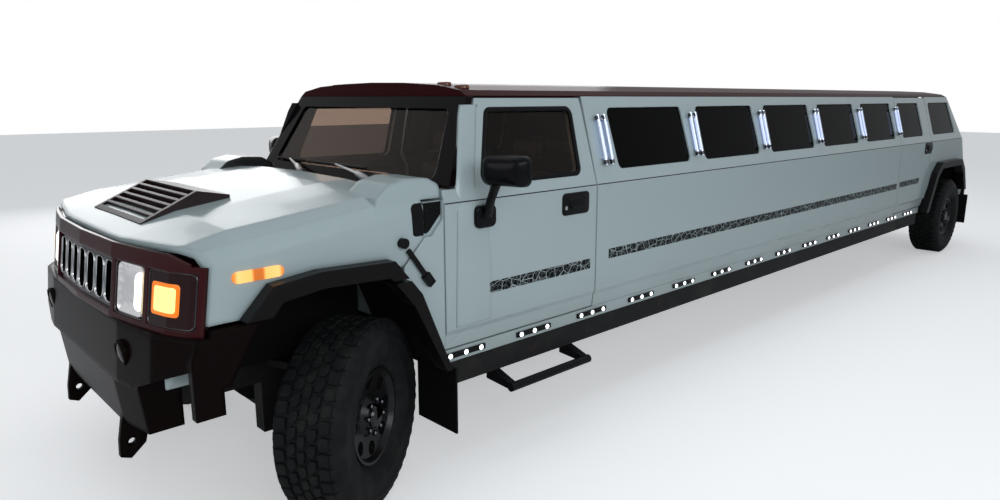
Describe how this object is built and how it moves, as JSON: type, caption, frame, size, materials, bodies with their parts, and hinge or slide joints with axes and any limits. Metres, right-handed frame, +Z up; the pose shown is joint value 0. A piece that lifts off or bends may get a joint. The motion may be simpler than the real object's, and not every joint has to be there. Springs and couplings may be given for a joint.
{
  "type": "stretch limousine",
  "caption": "Long-wheelbase limousine body on a boxy off-road car's ladder frame, with opening doors, hood and tailgate, steered front wheels and rows of windows and tube lights.",
  "frame": {"origin": "on the ground under the middle of the whole length and width", "axes": "+X forward, +Y to the left side, +Z up"},
  "size_m": [9.92, 2.47, 1.906],
  "materials": {
    "white_paint": "gloss",
    "dark_gloss_paint": "gloss",
    "chassis_paint": "satin",
    "clear_glass": "gloss",
    "privacy_glass": "gloss",
    "bright_chrome": "polished",
    "lamp_glass": "gloss",
    "amber_lens": "gloss",
    "red_lens": "gloss",
    "black_plastic": "satin",
    "black_rubber": "matte",
    "black_steel": "satin",
    "bare_metal": "cast",
    "axle_iron": "satin",
    "cab_plastic": "matte",
    "seat_leather": "satin",
    "tyre_rubber": "matte",
    "dark_wheel_metal": "satin"
  },
  "bodies": {
    "chassis": {"arch_liners": "black_plastic", "cabin_floor": "chassis_paint", "cowl_panels": "white_paint", "cross_tubes": "chassis_paint", "dashboard": "cab_plastic", "driveshaft": "axle_iron", "engine_block": "bare_metal", "frame_rails": "chassis_paint", "front_axle": "axle_iron", "front_bumper": "black_plastic", "front_fascia": "dark_gloss_paint", "front_lamps": "lamp_glass", "front_seats": "seat_leather", "grille_bars": "bright_chrome", "latch_handles": "black_rubber", "mud_flaps": "black_rubber", "rear_axle": "axle_iron", "rear_bumper": "black_plastic", "rear_quarters": "white_paint", "rocker_lights": "lamp_glass", "rocker_panels": "white_paint", "roof_shell": "dark_gloss_paint", "side_steps": "black_steel", "side_walls": "white_paint", "side_windows": "privacy_glass", "steering_wheel": "cab_plastic", "tail_lamps": "red_lens", "tube_lights": "lamp_glass", "wheel_flares": "black_plastic", "windshield_frame": "dark_gloss_paint", "windshield_glass": "clear_glass"},
    "hood": {"hood": "white_paint", "hood_vent": "black_plastic", "hood_flares": "black_plastic", "side_markers": "amber_lens", "hood_latches": "black_rubber"},
    "tailgate": {"tailgate": "white_paint", "tailgate_glass": "privacy_glass"},
    "left_front_door": {"left_front_door": "white_paint", "left_front_door_glass": "clear_glass", "left_mirror": "black_plastic"},
    "right_front_door": {"right_front_door": "white_paint", "right_front_door_glass": "clear_glass", "right_mirror": "black_plastic"},
    "left_rear_door": {"left_rear_door": "white_paint", "left_rear_door_glass": "privacy_glass"},
    "right_rear_door": {"right_rear_door": "white_paint", "right_rear_door_glass": "privacy_glass"},
    "left_knuckle": {"left_knuckle": "axle_iron"},
    "right_knuckle": {"right_knuckle": "axle_iron"},
    "left_front_wheel": {"left_front_tyre": "tyre_rubber", "left_front_rim": "dark_wheel_metal"},
    "right_front_wheel": {"right_front_tyre": "tyre_rubber", "right_front_rim": "dark_wheel_metal"},
    "left_rear_wheel": {"left_rear_tyre": "tyre_rubber", "left_rear_rim": "dark_wheel_metal"},
    "right_rear_wheel": {"right_rear_tyre": "tyre_rubber", "right_rear_rim": "dark_wheel_metal"}
  },
  "joints": [
    {"name": "left_front_door_hinge", "type": "hinge", "parent": "chassis", "child": "left_front_door", "pos_m": [3.6345, 0.957, 0.9], "axis": [0, 0, -1], "range_deg": [0, 68]},
    {"name": "right_front_door_hinge", "type": "hinge", "parent": "chassis", "child": "right_front_door", "pos_m": [3.6345, -0.957, 0.9], "axis": [0, 0, 1], "range_deg": [0, 68]},
    {"name": "left_rear_door_hinge", "type": "hinge", "parent": "chassis", "child": "left_rear_door", "pos_m": [-2.4135, 0.957, 0.9], "axis": [0, 0, -1], "range_deg": [0, 68]},
    {"name": "right_rear_door_hinge", "type": "hinge", "parent": "chassis", "child": "right_rear_door", "pos_m": [-2.4135, -0.957, 0.9], "axis": [0, 0, 1], "range_deg": [0, 68]},
    {"name": "hood_hinge", "type": "hinge", "parent": "chassis", "child": "hood", "pos_m": [4.842, 0, 1.262], "axis": [0, 1, 0], "range_deg": [0, 55]},
    {"name": "tailgate_hinge", "type": "hinge", "parent": "chassis", "child": "tailgate", "pos_m": [-4.1892, 0, 1.822], "axis": [0, 1, 0], "range_deg": [0, 65]},
    {"name": "left_steer", "type": "hinge", "parent": "chassis", "child": "left_knuckle", "pos_m": [4.17, 0.78, 0.4365], "axis": [0, 0, 1], "range_deg": [-66, 4]},
    {"name": "right_steer", "type": "hinge", "parent": "chassis", "child": "right_knuckle", "pos_m": [4.17, -0.78, 0.4365], "axis": [0, 0, 1], "range_deg": [-66, 4]},
    {"name": "left_front_wheel_spin", "type": "hinge", "parent": "left_knuckle", "child": "left_front_wheel", "pos_m": [4.11772, 0.867, 0.4365], "axis": [-0.515, 0.8572, 0], "continuous": true},
    {"name": "right_front_wheel_spin", "type": "hinge", "parent": "right_knuckle", "child": "right_front_wheel", "pos_m": [4.22228, -0.867, 0.4365], "axis": [-0.515, 0.8572, 0], "continuous": true},
    {"name": "left_rear_wheel_spin", "type": "hinge", "parent": "chassis", "child": "left_rear_wheel", "pos_m": [-4.029, 0.8815, 0.4365], "axis": [0, 1, 0], "continuous": true},
    {"name": "right_rear_wheel_spin", "type": "hinge", "parent": "chassis", "child": "right_rear_wheel", "pos_m": [-4.029, -0.8815, 0.4365], "axis": [0, 1, 0], "continuous": true}
  ],
  "couplings": [
    {"joint": "right_steer", "follows": "left_steer", "ratio": 1}
  ]
}
